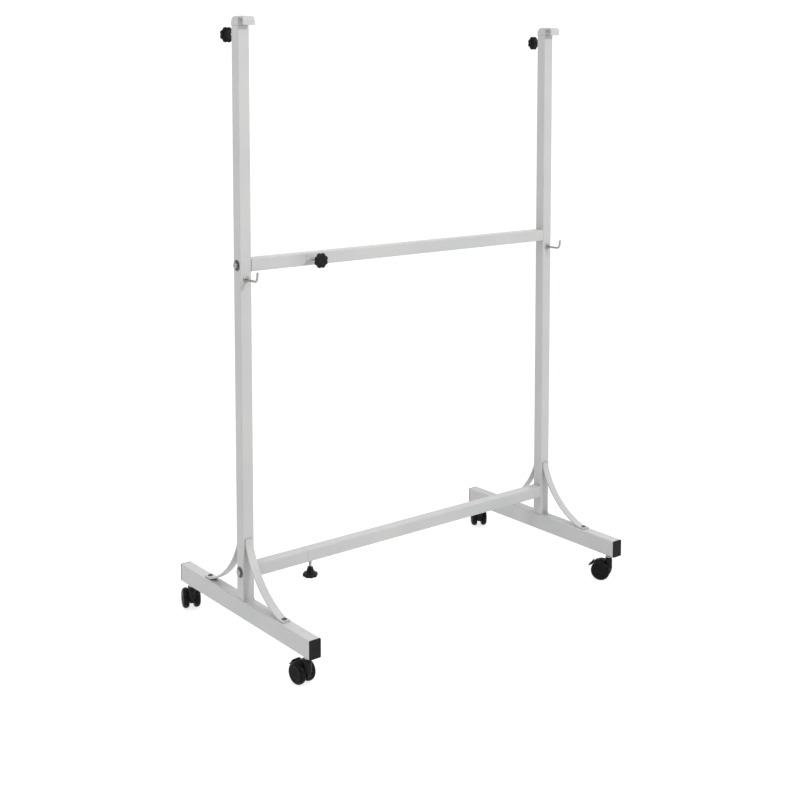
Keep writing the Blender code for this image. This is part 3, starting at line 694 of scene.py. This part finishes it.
def caster_hood(corner, place):
    """The moulded body: a web between the wheels, with a hinge block and a raised seam, and a stem socket."""
    axle = (TRAIL, WHEEL_RADIUS)
    step, web_radius = radians(2), WHEEL_RADIUS + 0.0004
    web_half = CASTER_WIDTH / 2 - WHEEL_WIDTH - 0.0008
    outline = arc(axle, 0.0215, radians(-15), BLOCK_FROM, 12)
    outline += arc(axle, BLOCK_RADIUS, BLOCK_FROM + step, BLOCK_TO, 6)
    outline += arc(axle, web_radius, BLOCK_TO + step, radians(195), 26)
    outline += arc(axle, 0.011, radians(225), radians(315), 12)
    web = bevelled(slab(outline, -web_half, web_half), 0.0007)
    seam = arc(axle, web_radius + 0.0006, radians(72), radians(112), 12)
    seam += arc(axle, web_radius - 0.001, radians(112), radians(72), 12)
    seam = bevelled(slab(seam, -0.0012, 0.0012), 0.0003)
    body = together(moved(web, TO_X), moved(seam, TO_X))
    profile = [(0, 0.0280), (0.0085, 0.0280), (0.0085, 0.0500), (0.0078, 0.0508), (0.0078, 0.0530),
               (0.0085, 0.0538), (0.0085, 0.0550), (0.0044, 0.0550), (0.0044, 0.0400), (0, 0.0400)]
    socket = turned(softened(profile, 0.0006), 48)
    piece(f"{corner}_hood", moved(together(body, socket), place), f"{corner}_caster", "black_plastic",
          [f"{corner}_caster_hood"])


def caster_axle(corner, place):
    half = CASTER_WIDTH / 2 - 0.0040
    shape = turned(softened([(0, half), (0.003, half), (0.003, -half), (0, -half)], 0.0005), 24)
    piece(f"{corner}_axle", moved(shape, place @ at(0, TRAIL, WHEEL_RADIUS) @ TO_X), f"{corner}_caster",
          "zinc_plated_steel", [f"{corner}_caster_axle"])


def caster_wheel(corner, which, place):
    """A nylon wheel: a round-shouldered tread with two fine grooves, and a dished face with a hub ring."""
    mirror = Matrix.Diagonal((-1 if which == "left" else 1, 1, 1, 1))
    radius, width, groove = WHEEL_RADIUS, WHEEL_WIDTH - 0.0001, 0.0003
    face = 0.0155      # radius of the flat outer face
    crown = 0.0071     # height of the tread's widest ring above the inner face
    fall = 0.0035      # how much smaller the tread is at the inner face
    # From the centre of the outer face: a cap, a ring around it and the dish.
    face_steps = ((0, 0.0004), (0.0030, 0.0005), (0.0042, 0.0010), (0.0052, 0.0010), (0.0062, 0.0004),
                  (0.0074, 0.0004), (0.0084, 0.0008), (0.0135, 0.0008))
    profile = [(out_from_axle, width - depth) for out_from_axle, depth in face_steps]
    for step in range(13):
        turn = pi / 2 * step / 12
        profile.append((face + (radius - face) * sin(turn), crown + (width - crown) * cos(turn)))
    for height in (0.0066, 0.0054):
        profile += [(radius, height + 0.0004), (radius - groove, height + 0.0002),
                    (radius - groove, height - 0.0002), (radius, height - 0.0004)]
    for step in range(4, 13):
        turn = pi / 2 * step / 12
        profile.append((radius - fall * (1 - cos(turn)), crown * (1 - sin(turn))))
    profile += [(0.0180, 0), (0.0172, 0.0010), (0.0070, 0.0010), (0.0064, 0), (0, 0)]
    shape = turned(softened(profile, 0.0004, 2), 64)
    start = CASTER_WIDTH / 2 - WHEEL_WIDTH
    shape = moved(shape, mirror @ at(start, TRAIL, WHEEL_RADIUS) @ TO_X)
    bmesh.ops.recalc_face_normals(shape, faces=shape.faces)
    piece(f"{corner}_{which}_nylon_wheel", moved(shape, place), f"{corner}_{which}_wheel",
          "black_wheel_plastic", [f"{corner}_caster_{which}_wheel"])


def brake_lever(corner, place):
    """A pedal that curves down behind the wheels from its hinge block, with grip ribs and a lifted tip."""
    axle = (TRAIL, WHEEL_RADIUS)
    inside, outside = BLOCK_RADIUS + 0.00015, BLOCK_RADIUS + 0.0023
    top, foot = radians(46), radians(20)
    outline = arc(axle, inside, top, foot, 12)
    outline += [(TRAIL + 0.0305, WHEEL_RADIUS + 0.0076), (TRAIL + 0.0309, WHEEL_RADIUS + 0.0096)]
    outline += arc(axle, outside, foot + radians(4), top, 12)
    pedal = bevelled(slab(softened(outline, 0.0006, closed=True), -0.009, 0.009), 0.0005)
    ribs = []
    for turn in (radians(27), radians(33), radians(39)):
        centre = (axle[0] + outside * cos(turn), axle[1] + outside * sin(turn))
        ribs.append(bevelled(slab(arc(centre, 0.0006, 0, 2 * pi * 11 / 12, 11), -0.007, 0.007), 0.0002))
    # A brake shoe under the pedal reaches in between the wheels, deepest beside the hinge.
    shoe = arc(axle, inside + 0.0006, foot, radians(45), 10)
    for depth, turn in ((0.0222, radians(45)), (0.0234, radians(32)), (0.0245, foot)):
        shoe.append((axle[0] + depth * cos(turn), axle[1] + depth * sin(turn)))
    shoe = bevelled(slab(shoe, -0.0042, 0.0042), 0.0004)
    shape = moved(together(pedal, shoe, *ribs), place @ TO_X)
    piece(f"{corner}_brake_pedal", shape, f"{corner}_brake", "black_plastic", [f"{corner}_brake_lever"])


def caster(corner):
    place = caster_place(corner)
    caster_stem(corner, place)
    caster_hood(corner, place)
    caster_axle(corner, place)
    caster_wheel(corner, "left", place)
    caster_wheel(corner, "right", place)
    if corner.startswith("front"):
        brake_lever(corner, place)


def stand():
    for side in SIDES:
        upright(side)
        foot_beam(side)
        top_hook(side)
        wire_hook(side)
        wire_hook_nut(side)
        knob(f"{side}_hook", *hook_clamp(side))
        for end in ENDS:
            end_cap(side, end)
            brace(side, end)
            brace_screw(side, end)
        for level in RAIL_Z:
            flanged_bolt(side, level)
    for level in RAIL_Z:
        rail(level)
        knob(f"{level}_rail", *rail_clamp(level))
    for corner in CORNERS:
        caster(corner)


# ---- floor, light and camera ----

BRIGHT_SIDE = (0.55, 0.60, 0.58)    # direction of the surround's brightest part
BRIGHT_LEVEL = 1.15
DIM_LEVEL = 0.25
FLOOR_GLOW = 0.78
CAMERA_PLACE = (-1.849, -2.301, 1.207)
CAMERA_TURN = (radians(90 - 4.62), 0, radians(-38.43))
LENS = 57.2
LENS_SHIFT = -0.265     # keeps the uprights parallel with the stand below the lens's axis


def studio_floor():
    """A wide translucent white floor lit from below, faintly mottled, so that it takes only pale shadows."""
    look = Look("studio_floor", (0.30, 0.30, 0.30), 0.9)
    clouds = look.ranged(look.noise(3), 0.3, 0.7, 0, 1)
    look.colour(look.mixed(clouds, (0.29, 0.29, 0.29), (0.31, 0.31, 0.31)))
    look.shader.inputs["Specular IOR Level"].default_value = 0
    look.shader.inputs["Emission Color"].default_value = (1, 1, 1, 1)
    look.shader.inputs["Emission Strength"].default_value = FLOOR_GLOW
    shape = slab(rounded_rectangle(80, 80, 4), -0.02, -0.0002)
    mesh = bpy.data.meshes.new("studio_floor")
    shape.to_mesh(mesh)
    shape.free()
    mesh.materials.append(look.material)
    obj = bpy.data.objects.new("studio_floor", mesh)
    bpy.context.scene.collection.objects.link(obj)


def soft_surround():
    """A white surround: brightest overhead and behind the stand, dimmer on the left and in front of it."""
    world = bpy.data.worlds.new("white_studio")
    world.use_nodes = True
    bpy.context.scene.world = world
    tree = world.node_tree
    direction = tree.nodes.new("ShaderNodeTexCoord").outputs["Generated"]
    towards = tree.nodes.new("ShaderNodeVectorMath")
    towards.operation = "DOT_PRODUCT"
    towards.inputs[1].default_value = BRIGHT_SIDE
    tree.links.new(direction, towards.inputs[0])
    strength = tree.nodes.new("ShaderNodeMapRange")
    strength.interpolation_type = "SMOOTHSTEP"
    for socket, number in zip(strength.inputs[1:5], (-0.6, 0.35, DIM_LEVEL, BRIGHT_LEVEL)):
        socket.default_value = number
    tree.links.new(towards.outputs["Value"], strength.inputs["Value"])
    tree.links.new(strength.outputs["Result"], tree.nodes["Background"].inputs["Strength"])
    tree.nodes["Background"].inputs["Color"].default_value = (1, 1, 1, 1)


def soft_box(name, place, target, side, power):
    """A square light aimed at a point."""
    light = bpy.data.lights.new(name, "AREA")
    light.size = side
    light.energy = power
    obj = bpy.data.objects.new(name, light)
    obj.location = place
    obj.rotation_euler = (Vector(target) - Vector(place)).to_track_quat("-Z", "Y").to_euler()
    bpy.context.scene.collection.objects.link(obj)


def camera():
    data = bpy.data.cameras.new("camera")
    data.sensor_width = 36
    data.lens = LENS
    data.shift_y = LENS_SHIFT
    obj = bpy.data.objects.new("camera", data)
    obj.location = CAMERA_PLACE
    obj.rotation_euler = CAMERA_TURN
    bpy.context.scene.collection.objects.link(obj)
    bpy.context.scene.camera = obj


stand()
studio_floor()
soft_surround()
soft_box("front_key", (0.35, -3.2, 2.5), (0, 0, 0.75), 0.4, 58)
soft_box("left_fill", (-3.0, -0.8, 3.4), (-0.2, 0, 0.8), 1.4, 36)
camera()
bpy.context.scene.view_settings.view_transform = "Standard"
